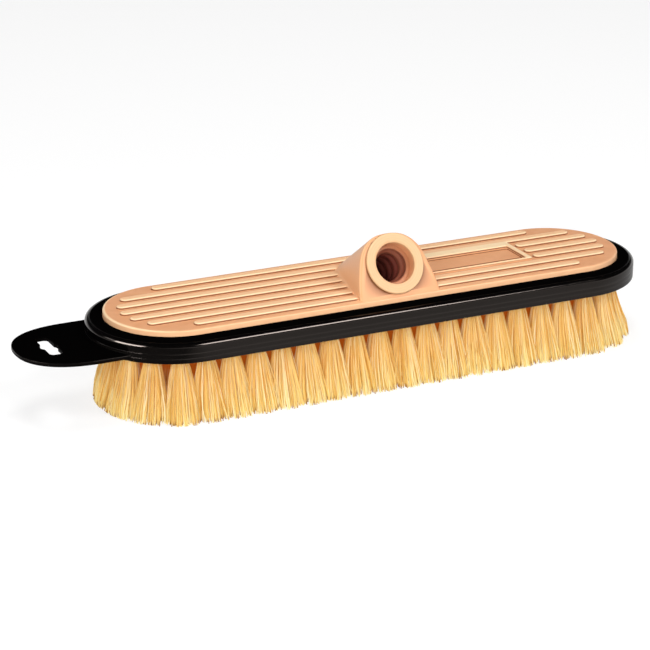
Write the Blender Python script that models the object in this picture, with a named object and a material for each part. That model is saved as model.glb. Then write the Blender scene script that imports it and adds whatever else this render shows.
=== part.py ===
"""Flow-through wash brush: a foamed-plastic block with an angled threaded handle socket, a water
channel inside, a black vinyl bumper with a hang tab, and twenty-one rows of bristle tufts.

Metres, +Z up. The bristle tips stand on z = 0, the block runs along X, the hang tab points to -X and
the socket leans towards -Y. The origin is under the middle of the whole object, tab included.
"""

import math
import random

import bmesh
import bpy
from mathutils import Vector

# Bumper: a vinyl channel that grips both halves of the block.
bumper_length = 0.356
bumper_width = 0.1012
bumper_wall = 0.004
top_lip_width = 0.0098
top_lip_thickness = 0.0019
top_lip_rise = 0.0018
bottom_lip_width = 0.0108
bottom_lip_thickness = 0.0016
bumper_edge_round = 0.0015
groove_depth = 0.0005
groove_width = 0.0009
groove_heights = (0.0031, 0.0060)

# Hang tab, moulded on the bumper's left end.
tab_reach = 0.0455
tab_half_width = 0.0325
tab_nose = 0.0412
tab_squareness = 2.31
tab_thickness = 0.0025
tab_drop = 0.0070
tab_root_bite = 0.0020
hang_slot_length = 0.0286
hang_slot_width = 0.0072
hang_hole_diameter = 0.0110
hang_slot_from_tip = 0.0205

# Block: the ribbed cap above, the tuft plate below, and the rubber gasket between them.
fit_gap = 0.0003
flange_thickness = 0.0020
gasket_thickness = 0.0008
gasket_border = 0.0030
gasket_window_margin = 0.0030
tuft_plate_thickness = 0.0035
deck_height = 0.0050
deck_draft = 0.0004
deck_edge_round = 0.0010
water_channel_length = 0.262
water_channel_width = 0.024
water_channel_depth = 0.0035

# Grip ribs on the cap, and the panel that interrupts them: a bare recess in a raised border.
rib_count = 7
rib_pitch = 0.0107
rib_width = 0.0062
rib_height = 0.0013
rib_draft = 0.0004
rib_border = 0.0084
rib_bite = 0.0060
panel_end_x = 0.1055
panel_end_border = 0.0035
panel_recess_half_width = 0.0124
panel_recess_depth = 0.0015
panel_groove_width = 0.0020

# Handle socket: a round collar on a wedge, with a counterbore and a coarse internal thread.
socket_x = 0.0012
socket_lean = math.radians(29.33)
collar_radius = 0.0183
collar_proud = 0.0020
collar_rise = 0.0209
collar_bite = 0.0100
counterbore_radius = 0.01235
counterbore_depth = 0.0071
thread_major_radius = 0.0101
thread_minor_radius = 0.0084
thread_pitch = 0.00847
socket_depth = 0.0420
wedge_base_half_width = 0.02625
wedge_face_inset = 0.0003
wedge_foot_drop = 0.0012
wedge_shoulder_rise = 0.0020
wedge_collar_margin = 0.0030
wedge_top_inset = 0.0008
wedge_middle_half_width = 0.0200
wedge_middle_y = -0.0040
wedge_rear_half_width = 0.0155
wedge_rear_y = 0.0150
wedge_back_reach = 0.0296
wedge_back_radius = 0.0100

# Bristles: rows of tufts, each strand a tapered square rod that leans out of its tuft.
bristle_trim = 0.0385
row_count = 21
row_end_margin = 0.0062
slice_thickness = 0.0022
tuft_margin = 0.0055
tuft_pitch_across = 0.0170
least_tuft_count = 2
strand_root_offset = 0.0017
strand_root_width = 0.0026
strand_gap_in_tuft = 0.0030
strand_gap_between_rows = 0.0024
strand_bite = 0.0012
strand_wander = 0.0007
tuft_splay = 0.0065

# Water outlets between the tufts.
outlet_diameter = 0.0040
outlet_row_count = 4
outlet_half_spacing = 0.0091

arc_steps = 16
overcut = 0.004
sink = 0.0010

# Heights of the stack, from the bristle tips up.
bumper_bottom = bristle_trim
bottom_lip_top = bumper_bottom + bottom_lip_thickness
tuft_plate_bottom = bottom_lip_top + fit_gap
tuft_plate_top = tuft_plate_bottom + tuft_plate_thickness
gasket_bottom = tuft_plate_top + fit_gap
gasket_top = gasket_bottom + gasket_thickness
cap_bottom = gasket_top + fit_gap
flange_top = cap_bottom + flange_thickness
top_lip_under = flange_top + fit_gap
bumper_edge = top_lip_under + top_lip_thickness
deck_top = bumper_edge + deck_height
slice_top = tuft_plate_bottom - fit_gap
slice_bottom = slice_top - slice_thickness

# Plan of the stadium outlines: the spine is the line between the two end centres.
outer_radius = bumper_width / 2
spine_half = bumper_length / 2 - outer_radius
flange_inset = bumper_wall + fit_gap
deck_inset = top_lip_width + fit_gap
slice_inset = bottom_lip_width + fit_gap
deck_half_width = outer_radius - deck_inset
block_x = tab_reach / 2

# The rows fill the bristle field's length, and the strands' tips fill the rows' pitch.
field_radius = outer_radius - slice_inset
tuft_reach = field_radius - tuft_margin
row_pitch = 2 * (spine_half + field_radius - row_end_margin) / (row_count - 1)
strand_tip_width = (row_pitch - strand_gap_in_tuft - strand_gap_between_rows) / 2
strand_tip_offset = (strand_tip_width + strand_gap_in_tuft) / 2

# The panel's border lines up with the ribs: its front edge with one, its back with the middle of another.
panel_front_y = -rib_pitch - rib_width / 2
panel_back_y = 2 * rib_pitch

# Socket directions: the bore's axis out of the mouth, and the way up its face.
mouth_normal = Vector((0, -math.cos(socket_lean), math.sin(socket_lean)))
face_up = Vector((0, math.sin(socket_lean), math.cos(socket_lean)))
face_foot_y = wedge_face_inset + deck_draft - deck_half_width
face_foot = Vector((socket_x, face_foot_y, deck_top - wedge_foot_drop))
face_centre = face_foot + face_up * collar_rise
mouth_centre = face_centre + mouth_normal * collar_proud


def clear_scene():
    for old in list(bpy.data.objects):
        bpy.data.objects.remove(old, do_unlink=True)


def plastic(name, color, roughness):
    """A Principled material in the part's own colour."""
    material = bpy.data.materials.new(name)
    material.use_nodes = True
    shader = material.node_tree.nodes["Principled BSDF"]
    shader.inputs["Base Color"].default_value = (*color, 1)
    shader.inputs["Roughness"].default_value = roughness
    shader.inputs["Metallic"].default_value = 0
    return material


def add_object(name, points, faces, material, parent):
    """One mesh object under the brush's empty, with its faces turned outwards."""
    mesh = bpy.data.meshes.new(name)
    mesh.from_pydata([tuple(point) for point in points], [], faces)
    work = bmesh.new()
    work.from_mesh(mesh)
    bmesh.ops.recalc_face_normals(work, faces=work.faces)
    work.to_mesh(mesh)
    work.free()
    mesh.shade_smooth()
    mesh.set_sharp_from_angle(angle=math.radians(30))
    mesh.materials.append(material)
    piece = bpy.data.objects.new(name, mesh)
    piece.parent = parent
    bpy.context.scene.collection.objects.link(piece)
    return piece


def helper(piece):
    """Marks a cutter or an added shape that isn't a piece by itself."""
    piece.hide_render = True
    piece.display_type = "WIRE"
    return piece


def combine(piece, other, operation):
    change = piece.modifiers.new(other.name, "BOOLEAN")
    change.operation = operation
    change.solver = "EXACT"
    change.object = helper(other)


def stadium(inset, z, half=spine_half, radius=outer_radius, steps=arc_steps):
    """A level loop: two half circles round the ends of the spine, pulled in by inset."""
    loop = []
    for side in (1, -1):
        for step in range(steps + 1):
            angle = math.pi * step / steps - math.pi / 2
            x = side * (half + (radius - inset) * math.cos(angle))
            loop.append(Vector((x, side * (radius - inset) * math.sin(angle), z)))
    return loop


def loft(loops, closed_ring=False):
    """Points and faces of a skin over loops of equal length, capped unless it closes on itself."""
    size = len(loops[0])
    points = [point for loop in loops for point in loop]
    faces = []
    spans = len(loops) if closed_ring else len(loops) - 1
    for span in range(spans):
        low, high = span * size, (span + 1) % len(loops) * size
        for step in range(size):
            after = (step + 1) % size
            faces.append((low + step, low + after, high + after, high + step))
    if not closed_ring:
        faces.append(tuple(range(size)))
        faces.append(tuple(range(len(points) - size, len(points))))
    return points, faces


def prism(outline, bottom, top):
    """An upright prism on a plan outline of (x, y) points."""
    return loft([[Vector((x, y, z)) for x, y in outline] for z in (bottom, top)])


def circle_outline(x, y, radius, steps):
    turns = [2 * math.pi * step / steps for step in range(steps)]
    return [(x + radius * math.cos(turn), y + radius * math.sin(turn)) for turn in turns]


def make_bumper(material, parent):
    """The channel's section, as (inset from the outside, height), swept round the stadium."""
    section = [(0, bumper_bottom)]
    for height in groove_heights:
        middle = bumper_bottom + height
        section += [
            (0, middle - groove_width / 2),
            (groove_depth, middle),
            (0, middle + groove_width / 2),
        ]
    section += [
        (0, bumper_edge - bumper_edge_round),
        (bumper_edge_round * 0.3, bumper_edge - bumper_edge_round * 0.3),
        (bumper_edge_round, bumper_edge),
        (top_lip_width, bumper_edge + top_lip_rise),
        (top_lip_width, top_lip_under),
        (bumper_wall, top_lip_under),
        (bumper_wall, bottom_lip_top),
        (bottom_lip_width, bottom_lip_top),
        (bottom_lip_width, bumper_bottom),
    ]
    loops = [stadium(inset, z) for inset, z in section]
    bumper = add_object("bumper", *loft(loops, closed_ring=True), material, parent)
    combine(bumper, make_tab(material, parent), "UNION")
    for cutter in make_hang_cutters(material, parent):
        combine(bumper, cutter, "DIFFERENCE")
    return bumper


def make_tab(material, parent):
    """A flat tongue: half a slightly squared ellipse at the tip, straight sides, and a root inside the
    bumper's wall. The squareness is the exponent of the ellipse's equation, 2 for a true ellipse."""
    root_radius = outer_radius - tab_root_bite
    root_turn = math.asin(tab_half_width / root_radius)
    nose_x = -(bumper_length / 2 + tab_reach - tab_nose)
    outline = []
    for step in range(arc_steps + 1):
        turn = math.pi / 2 + math.pi * step / arc_steps
        along = abs(math.cos(turn)) ** (2 / tab_squareness)
        across = math.copysign(abs(math.sin(turn)) ** (2 / tab_squareness), math.sin(turn))
        outline.append((nose_x - tab_nose * along, tab_half_width * across))
    for step in range(9):
        turn = math.pi + root_turn - 2 * root_turn * step / 8
        outline.append((-spine_half + root_radius * math.cos(turn), root_radius * math.sin(turn)))
    top = bumper_edge - tab_drop
    return add_object("tab_shape", *prism(outline, top - tab_thickness, top), material, parent)


def make_hang_cutters(material, parent):
    """The hang slot, and the round hole in its middle."""
    x = hang_slot_from_tip - bumper_length / 2 - tab_reach
    top = bumper_edge - tab_drop
    low, high = top - tab_thickness - overcut, top + overcut
    reach = (hang_slot_length - hang_slot_width) / 2
    slot = []
    for side in (1, -1):
        for step in range(7):
            turn = math.pi * step / 6
            slot.append(
                (
                    x + side * hang_slot_width / 2 * math.cos(turn),
                    side * (reach + hang_slot_width / 2 * math.sin(turn)),
                )
            )
    hole = circle_outline(x, 0, hang_hole_diameter / 2, 16)
    yield add_object("hang_slot_cutter", *prism(slot, low, high), material, parent)
    yield add_object("hang_hole_cutter", *prism(hole, low, high), material, parent)


def make_cap(material, parent):
    """The ribbed top half: clamping flange, deck, ribs, panel, socket and water channel."""
    round_low = deck_top - deck_edge_round
    inset_top = deck_inset + deck_draft
    loops = [
        stadium(flange_inset, cap_bottom),
        stadium(flange_inset, flange_top),
        stadium(deck_inset, flange_top),
        stadium(inset_top, round_low),
        stadium(inset_top + deck_edge_round * 0.3, deck_top - deck_edge_round * 0.3),
        stadium(inset_top + deck_edge_round, deck_top),
    ]
    cap = add_object("top_block", *loft(loops), material, parent)
    combine(cap, make_ribs(material, parent), "UNION")
    border, recess = make_panel_shapes(material, parent)
    combine(cap, border, "UNION")
    combine(cap, recess, "DIFFERENCE")
    combine(cap, make_wedge(material, parent), "UNION")
    combine(cap, make_collar(material, parent), "UNION")
    combine(cap, make_channel_cutter(material, parent), "DIFFERENCE")
    combine(cap, make_bore_cutter(material, parent), "DIFFERENCE")
    return cap


def rib_stretches(y):
    """The stretches of one rib along X: it runs into the wedge, and stops short of the panel."""
    end_radius = deck_half_width - rib_border
    end = spine_half + math.sqrt(max(0, end_radius**2 - y**2))
    start = -end
    reach = wedge_half_width_at(y) - rib_bite
    if reach > -rib_bite:
        yield start, socket_x - reach
        start = socket_x + reach
    if abs(y) < -panel_front_y:
        start = panel_end_x + panel_groove_width
    yield start, end


def wedge_side():
    """The wedge's edge on the deck from front to back, as (distance from its middle, y)."""
    side = [
        (wedge_base_half_width, face_foot_y),
        (wedge_middle_half_width, wedge_middle_y),
        (wedge_rear_half_width, wedge_rear_y),
    ]
    for step in range(7):
        turn = math.pi / 2 * step / 6
        y = wedge_back_reach - wedge_back_radius + wedge_back_radius * math.sin(turn)
        side.append((wedge_back_radius * math.cos(turn), y))
    return side


def wedge_half_width_at(y):
    """Half the wedge's width on the deck, or 0 where a rib passes behind it."""
    side = wedge_side()
    for (near_half, near_y), (far_half, far_y) in zip(side, side[1:]):
        if near_y <= y <= far_y:
            return near_half + (far_half - near_half) * (y - near_y) / (far_y - near_y)
    return 0


def make_ribs(material, parent):
    """Every rib stretch, as a bar with round ends whose sides taper upwards."""
    points, faces = [], []
    for row in range(rib_count):
        y = (row - (rib_count - 1) / 2) * rib_pitch
        for start, end in rib_stretches(y):
            if end - start < rib_width * 1.5:
                continue
            half = (end - start - rib_width) / 2
            middle = Vector(((start + end) / 2, y, 0))
            loops = []
            for inset, z in ((0, deck_top - sink), (0, deck_top), (rib_draft, deck_top + rib_height)):
                loop = stadium(inset, z, half, rib_width / 2, 4)
                loops.append([point + middle for point in loop])
            more_points, more_faces = loft(loops)
            faces += [tuple(corner + len(points) for corner in face) for face in more_faces]
            points += more_points
    return add_object("ribs_shape", points, faces, material, parent)


def make_panel_shapes(material, parent):
    """The panel's raised border as a whole plate, and the cutter that sinks the recess in it."""
    for name, margin, front, back, low, high in (
        ("panel_border", 0, panel_front_y, panel_back_y, deck_top - sink, deck_top + rib_height),
        (
            "panel_recess",
            panel_end_border,
            -panel_recess_half_width,
            panel_recess_half_width,
            deck_top + rib_height - panel_recess_depth,
            deck_top + overcut,
        ),
    ):
        near, far = socket_x + margin, panel_end_x - margin
        outline = [(near, front), (far, front), (far, back), (near, back)]
        yield add_object(name, *prism(outline, low, high), material, parent)


def make_wedge(material, parent):
    """The convex hull of the socket's front face and of the wedge's outline on the deck."""
    arch_radius = collar_radius + wedge_collar_margin
    arch_height = collar_radius - wedge_top_inset
    points = []
    for side in (-1, 1):
        points.append(face_foot + Vector((side * wedge_base_half_width, 0, 0)))
        points.append(face_foot + Vector((side * wedge_base_half_width, 0, -sink)))
        points.append(face_centre + Vector((side * arch_radius, 0, 0)) + face_up * wedge_shoulder_rise)
        for half, y in wedge_side()[1:]:
            for z in (deck_top - sink, deck_top):
                points.append(Vector((socket_x + side * half, y, z)))
    for step in range(1, 12):
        turn = math.pi * step / 12
        arch_x = Vector((arch_radius * math.cos(turn), 0, 0))
        points.append(face_centre + arch_x + face_up * arch_height * math.sin(turn))
    mesh = bmesh.new()
    corners = [mesh.verts.new(point) for point in points]
    hull = bmesh.ops.convex_hull(mesh, input=corners)
    inside = [part for part in hull["geom_interior"] if isinstance(part, bmesh.types.BMVert)]
    bmesh.ops.delete(mesh, geom=inside, context="VERTS")
    mesh.verts.index_update()
    points = [vertex.co.copy() for vertex in mesh.verts]
    faces = [tuple(vertex.index for vertex in face.verts) for face in mesh.faces]
    mesh.free()
    return add_object("wedge_shape", points, faces, material, parent)


def around_socket(radius, depth, steps=24):
    """A loop round the bore's axis; radius may be a function of the clockwise turn."""
    loop = []
    for step in range(steps):
        turn = 2 * math.pi * step / steps
        here = radius(turn) if callable(radius) else radius
        sideways = Vector((here * math.sin(turn), 0, 0))
        loop.append(mouth_centre - mouth_normal * depth + sideways + face_up * here * math.cos(turn))
    return loop


def make_collar(material, parent):
    loops = [around_socket(collar_radius, depth, 32) for depth in (0, collar_bite)]
    return add_object("collar_shape", *loft(loops), material, parent)


def make_bore_cutter(material, parent):
    """Counterbore, flat shoulder, and a right-hand thread whose ridges fade at both ends."""
    stations = 6
    middle_radius = (thread_major_radius + thread_minor_radius) / 2
    ridge = thread_major_radius - middle_radius
    length = socket_depth - counterbore_depth
    loops = [
        around_socket(counterbore_radius, -overcut),
        around_socket(counterbore_radius, counterbore_depth),
        around_socket(thread_major_radius, counterbore_depth),
    ]
    count = max(2, round(length / thread_pitch * stations))
    for step in range(1, count + 1):
        along = length * step / count
        fade = min(1, along / (thread_pitch / 2))

        def radius(turn, along=along, fade=fade):
            wave = math.cos(2 * math.pi * along / thread_pitch - turn)
            return thread_major_radius - fade * ridge * (1 - wave)

        loops.append(around_socket(radius, counterbore_depth + along))
    return add_object("bore_cutter", *loft(loops), material, parent)


def make_channel_cutter(material, parent):
    """The long trough under the cap that the threaded bore breaks into."""
    radius = water_channel_width / 2
    half = water_channel_length / 2 - radius
    heights = (cap_bottom - overcut, cap_bottom + water_channel_depth)
    loops = [stadium(0, z, half, radius, 8) for z in heights]
    return add_object("channel_cutter", *loft(loops), material, parent)


def make_gasket(material, parent):
    """A flat rubber frame between the halves, open over the water channel."""
    radius = water_channel_width / 2 + gasket_window_margin
    half = water_channel_length / 2 - water_channel_width / 2
    inset = flange_inset + gasket_border
    outside = [stadium(inset, z) for z in (gasket_bottom, gasket_top)]
    inside = [stadium(0, z, half, radius) for z in (gasket_top, gasket_bottom)]
    shape = loft(outside + inside, closed_ring=True)
    return add_object("chamber_gasket", *shape, material, parent)


def row_x(row):
    return (row - (row_count - 1) / 2) * row_pitch


def outlets_of(row):
    """Places across a row of its two outlets, or none: the rows that have them are evenly spread."""
    step = (row_count - 1) / (outlet_row_count + 1)
    rows = [round((place + 1) * step) for place in range(outlet_row_count)]
    return [side * outlet_half_spacing for side in (-1, 1)] if row in rows else []


def outlet_cutter(name, rows, low, high, material, parent):
    points, faces = [], []
    for row in rows:
        for y in outlets_of(row):
            outline = circle_outline(row_x(row), y, outlet_diameter / 2, 10)
            more_points, more_faces = prism(outline, low, high)
            faces += [tuple(corner + len(points) for corner in face) for face in more_faces]
            points += more_points
    return add_object(name, points, faces, material, parent)


def make_tuft_block(material, parent):
    """The lower half: a plate whose edge sits on the bumper's bottom lip, with the water outlets."""
    loops = [stadium(flange_inset, z) for z in (tuft_plate_bottom, tuft_plate_top)]
    plate = add_object("tuft_block", *loft(loops), material, parent)
    heights = (tuft_plate_bottom - overcut, tuft_plate_top + overcut)
    cutter = outlet_cutter("plate_outlets", range(row_count), *heights, material, parent)
    combine(plate, cutter, "DIFFERENCE")
    return plate


def slice_outline(low, high):
    """The stretch of the bristle field between two X places, cut from its stadium."""
    end = spine_half + field_radius
    low, high = max(low, -end), min(high, end)
    steps = 8 if max(abs(low), abs(high)) > spine_half else 1
    near, far = [], []
    for step in range(steps + 1):
        share = step / steps
        if high >= end:
            x = low + (high - low) * math.sin(math.pi / 2 * share)
        elif low <= -end:
            x = high - (high - low) * math.cos(math.pi / 2 * share)
        else:
            x = low + (high - low) * share
        past = max(0, abs(x) - spine_half)
        half = math.sqrt(max(0, field_radius**2 - past**2))
        near.append((x, -half))
        far.append((x, half))
    outline = near + far[::-1]
    return [point for point in outline if abs(point[1]) > 1e-7 or point in near]


def tuft_places(row):
    """Root centres of one row's tufts, evenly spread between the two sides of the field."""
    x = row_x(row)
    past = max(0, abs(x) - spine_half)
    half = math.sqrt(max(0, tuft_reach**2 - past**2))
    count = max(least_tuft_count, 1 + round(2 * half / tuft_pitch_across))
    return [Vector((x, -half + 2 * half * place / (count - 1), 0)) for place in range(count)]


def lean_of(root):
    """How far a tuft's tip leans out: in proportion to its distance from the spine."""
    spine = Vector((max(-spine_half, min(spine_half, root.x)), 0, 0))
    return (root - spine) * tuft_splay / tuft_reach


def strand(root, tip):
    """One square rod from inside the slice down to the level that the brush stands on."""
    loops = []
    for centre, width, z in (
        (root, strand_root_width, slice_bottom + strand_bite),
        (root, strand_root_width, slice_bottom),
        (tip, strand_tip_width, 0),
    ):
        corners = ((-1, -1), (1, -1), (1, 1), (-1, 1))
        half = width / 2
        loops.append([Vector((centre.x + x * half, centre.y + y * half, z)) for x, y in corners])
    return loft(loops)


def make_tuft_row(row, material, parent):
    """A row's slice of the block's underside, with its strands fused to it."""
    wander = random.Random(row)
    low = row_x(row) - row_pitch / 2 + fit_gap / 2 if row else -bumper_length
    high = row_x(row) + row_pitch / 2 - fit_gap / 2 if row < row_count - 1 else bumper_length
    name = f"tuft_row_{row + 1:02d}"
    shape = prism(slice_outline(low, high), slice_bottom, slice_top)
    piece = add_object(name, *shape, material, parent)
    points, faces = [], []
    for root in tuft_places(row):
        tip = root + lean_of(root)
        for x, y in ((-1, -1), (1, -1), (1, 1), (-1, 1)):
            drift = Vector([wander.uniform(-strand_wander, strand_wander) for _ in range(3)])
            foot = tip + Vector((x, y, 0)) * strand_tip_offset + drift
            start = root + Vector((x, y, 0)) * strand_root_offset
            more_points, more_faces = strand(start, foot)
            faces += [tuple(corner + len(points) for corner in face) for face in more_faces]
            points += more_points
    combine(piece, add_object(f"strands_{row + 1:02d}", points, faces, material, parent), "UNION")
    if outlets_of(row):
        heights = (slice_bottom - overcut, slice_top + overcut)
        cutter = outlet_cutter(f"slice_outlets_{row + 1:02d}", [row], *heights, material, parent)
        combine(piece, cutter, "DIFFERENCE")
    return piece


clear_scene()
brush = bpy.data.objects.new("brush", None)
brush.location.x = block_x
bpy.context.scene.collection.objects.link(brush)

block_plastic = plastic("foamed plastic block", (0.84, 0.50, 0.28), 0.5)
bumper_vinyl = plastic("black vinyl bumper", (0.004, 0.004, 0.005), 0.25)
gasket_rubber = plastic("gasket rubber", (0.03, 0.03, 0.03), 0.8)
bristle_fibre = plastic("cream bristle fibre", (0.90, 0.66, 0.30), 0.45)

make_bumper(bumper_vinyl, brush)
make_cap(block_plastic, brush)
make_gasket(gasket_rubber, brush)
make_tuft_block(block_plastic, brush)
for row_number in range(row_count):
    make_tuft_row(row_number, bristle_fibre, brush)
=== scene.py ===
"""Flow-through wash brush: the looks, built round the brush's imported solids.

Metres, +Z up. The bristle tips stand on z = 0, the block runs along X, the hang tab points to -X
and the handle socket leans towards -Y. The sections follow the brush as it is put together.
"""

import math

import bmesh
import bpy
import numpy as np
from mathutils import Matrix, Vector


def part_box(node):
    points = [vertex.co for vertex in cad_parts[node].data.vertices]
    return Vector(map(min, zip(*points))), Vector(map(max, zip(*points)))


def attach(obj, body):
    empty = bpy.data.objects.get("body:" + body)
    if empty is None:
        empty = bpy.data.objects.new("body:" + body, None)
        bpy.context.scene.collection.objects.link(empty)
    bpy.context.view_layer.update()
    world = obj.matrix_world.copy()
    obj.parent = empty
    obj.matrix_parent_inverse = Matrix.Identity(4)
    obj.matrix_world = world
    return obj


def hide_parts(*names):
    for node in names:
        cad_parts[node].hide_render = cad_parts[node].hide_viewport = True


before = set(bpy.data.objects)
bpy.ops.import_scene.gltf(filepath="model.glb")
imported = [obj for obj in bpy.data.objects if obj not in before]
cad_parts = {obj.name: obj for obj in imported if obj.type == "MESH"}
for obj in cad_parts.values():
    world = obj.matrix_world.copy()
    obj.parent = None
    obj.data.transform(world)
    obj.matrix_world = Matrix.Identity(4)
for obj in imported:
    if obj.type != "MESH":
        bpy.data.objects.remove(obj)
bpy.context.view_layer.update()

# Studio: a long lens 26 degrees left of the brush's front and 20 degrees up, a pale floor, one soft
# key lamp at the front right that also draws the shine along the bumper, and a fill beside the
# camera and an overhead lamp that throw no shine. Two lamps at the left draw the shine round that
# end; the larger one shows only in the bumper's gloss, so that it doesn't glare on the block. A low
# pale wall of light stands round the floor, darker at the left; the room above it is dark.


def paint(code):
    """A linear colour with alpha 1 from an sRGB hex code: each channel by the sRGB curve."""
    channels = np.array([int(code[place : place + 2], 16) for place in (1, 3, 5)]) / 255
    linear = np.where(channels > 0.04045, ((channels + 0.055) / 1.055) ** 2.4, channels / 12.92)
    return (*linear.tolist(), 1.0)


def add_node(tree, kind, inputs=None, **settings):
    """A shader node. An input is a plain value, or a (node, output) pair to link from."""
    node = tree.nodes.new("ShaderNode" + kind)
    for name, value in settings.items():
        setattr(node, name, value)
    for socket, value in (inputs or {}).items():
        if isinstance(value, tuple) and isinstance(value[0], bpy.types.Node):
            tree.links.new(value[0].outputs[value[1]], node.inputs[socket])
        else:
            node.inputs[socket].default_value = value
    return node


def new_material(name):
    """An empty material and its node tree."""
    material = bpy.data.materials.new(name)
    material.use_nodes = True
    material.node_tree.nodes.clear()
    return material, material.node_tree


def soft_lamp(name, place, aim, size, power):
    """A rectangular area lamp at place, turned to aim, with its size as (across, up) in metres."""
    lamp = bpy.data.lights.new(name, "AREA")
    lamp.shape = "RECTANGLE"
    lamp.size, lamp.size_y = size
    lamp.energy = power
    holder = bpy.data.objects.new(name, lamp)
    holder.location = place
    holder.rotation_euler = (Vector(aim) - Vector(place)).to_track_quat("-Z", "Y").to_euler()
    bpy.context.scene.collection.objects.link(holder)
    return holder


scene = bpy.context.scene
scene.view_settings.view_transform = "Standard"

camera_turn, camera_height = math.radians(-26.068), math.radians(20.494)
camera_roll = math.radians(0.394)
camera_place = Vector((-0.59027, -1.19348, 0.52450))
camera_back = Vector(
    (
        math.sin(camera_turn) * math.cos(camera_height),
        -math.cos(camera_turn) * math.cos(camera_height),
        math.sin(camera_height),
    )
)
level_right = Vector((math.cos(camera_turn), math.sin(camera_turn), 0))
level_up = camera_back.cross(level_right)
camera_right = math.cos(camera_roll) * level_right + math.sin(camera_roll) * level_up
camera_up = math.cos(camera_roll) * level_up - math.sin(camera_roll) * level_right
camera = bpy.data.objects.new("camera", bpy.data.cameras.new("camera"))
camera.data.lens = 131.434
camera.data.sensor_width = 36
camera.data.clip_end = 200
camera.matrix_world = Matrix.Translation(camera_place) @ (
    Matrix((camera_right, camera_up, camera_back)).transposed().to_4x4()
)
scene.collection.objects.link(camera)
scene.camera = camera

brush_middle = (0.02, 0, 0.05)
soft_lamp("key lamp", (0.77, -1.29, 1.55), brush_middle, (0.64, 0.75), 22)
soft_lamp("fill lamp", (-0.92, -1.22, 0.62), brush_middle, (0.9, 0.6), 19).visible_glossy = False
soft_lamp("overhead lamp", (-0.2, 0.1, 1.9), brush_middle, (1.0, 0.6), 15).visible_glossy = False
left_shine = soft_lamp("left shine", (-1.6, -0.22, 0.66), brush_middle, (1.15, 0.7), 44)
left_shine.visible_diffuse = False
shone_on = bpy.data.collections.new("glossy pieces")
left_shine.light_linking.receiver_collection = shone_on
soft_lamp("rear left lamp", (-1.35, 0.6, 0.75), brush_middle, (0.35, 0.3), 1.0)

world = bpy.data.worlds.new("low pale wall under a dark room")
world.use_nodes = True
scene.world = world
sky = world.node_tree
sky.nodes.clear()
heading = add_node(sky, "TexCoord")
height = add_node(sky, "SeparateXYZ", {0: (heading, "Generated")})
above_wall = add_node(
    sky,
    "MapRange",
    {"Value": (height, "Z"), "From Min": 0.16, "From Max": 0.27},
    interpolation_type="SMOOTHSTEP",
)
to_right = add_node(sky, "MapRange", {"Value": (height, "X"), "From Min": -0.7, "From Max": 0.0})
wall = add_node(
    sky, "Mix", {0: (to_right, 0), 6: paint("#606060"), 7: paint("#F4F4F4")}, data_type="RGBA"
)
wall_light = add_node(
    sky, "Mix", {0: (above_wall, 0), 6: (wall, 2), 7: paint("#1C1C1D")}, data_type="RGBA"
)
background = add_node(sky, "Background", {"Color": (wall_light, 2), "Strength": 1.0})
add_node(sky, "OutputWorld", {"Surface": (background, 0)})

floor_reach = 30.0
floor_mesh = bpy.data.meshes.new("floor")
floor_mesh.from_pydata(
    [(x * floor_reach, y * floor_reach, 0) for x, y in ((-1, -1), (1, -1), (1, 1), (-1, 1))],
    [],
    [(0, 1, 2, 3)],
)
floor = bpy.data.objects.new("floor", floor_mesh)
scene.collection.objects.link(floor)

# Matt paper sweep, plain pale. To the eye it is lit up to white, and a quarter of what it shows is
# still the lamps' light, so that the brush's soft shadow stays on it. In reflections it shows a
# painted glow instead, brightest behind the brush, that falls off to dark at the front left, which
# is what the bumper's shiny side shows.
floor_paper, paper = new_material("matt white paper sweep")
floor_mesh.materials.append(floor_paper)
ray = add_node(paper, "LightPath")
seen = add_node(
    paper, "Math", {0: (ray, "Is Camera Ray"), 1: (ray, "Is Transmission Ray")}, operation="MAXIMUM"
)
plain_paper = add_node(paper, "BsdfDiffuse", {"Color": paint("#E4E4E4")})
grey_paper = add_node(paper, "BsdfDiffuse", {"Color": paint("#909090")})
paper_glow = add_node(paper, "Emission", {"Color": paint("#FFFFFF"), "Strength": 0.78})
lit_paper = add_node(paper, "AddShader", {0: (grey_paper, 0), 1: (paper_glow, 0)})
paper_shown = add_node(paper, "MixShader", {0: (seen, 0), 1: (plain_paper, 0), 2: (lit_paper, 0)})
paper_place = add_node(paper, "TexCoord")
paper_x = add_node(paper, "SeparateXYZ", {0: (paper_place, "Object")})
# Painted light seen only in reflections: the glow falls off to dark at the front left and is
# brightest behind the brush.
falloff = add_node(
    paper,
    "MapRange",
    {"Value": (paper_x, "X"), "From Min": -0.13, "From Max": -0.045, "To Min": 0.1, "To Max": 0.5},
)
behind = add_node(
    paper,
    "MapRange",
    {"Value": (paper_x, "Y"), "From Min": 0.06, "From Max": 0.16, "To Min": 0.1, "To Max": 0.9},
)
mirrored = add_node(paper, "Math", {0: (falloff, 0), 1: (behind, 0)}, operation="MAXIMUM")
painted_paper_glow = add_node(paper, "Emission", {"Color": paint("#FFFFFF"), "Strength": (mirrored, 0)})
paper_shown = add_node(
    paper, "MixShader", {0: (ray, "Is Glossy Ray"), 1: (paper_shown, 0), 2: (painted_paper_glow, 0)}
)
add_node(paper, "OutputMaterial", {"Surface": (paper_shown, 0)})

# Tuft block: the lower half of the block, a plate of foamed plastic whose edge lies on the bumper's
# bottom lip. Its underside is drilled for the tufts and for eight water outlets.

mm = 0.001
block_low, block_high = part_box("top_block")
block_x = (block_low.x + block_high.x) / 2
spine_half = 127.4 * mm
outer_radius = 50.6 * mm
field_radius = outer_radius - 11.1 * mm
underside_bottom, underside_top = 37.9 * mm, 40.1 * mm
row_count = 21
row_pitch = 16.07 * mm
outlet_rows = (4, 8, 12, 16)
outlet_radius = 2.0 * mm
outlet_spread = 9.1 * mm


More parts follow.
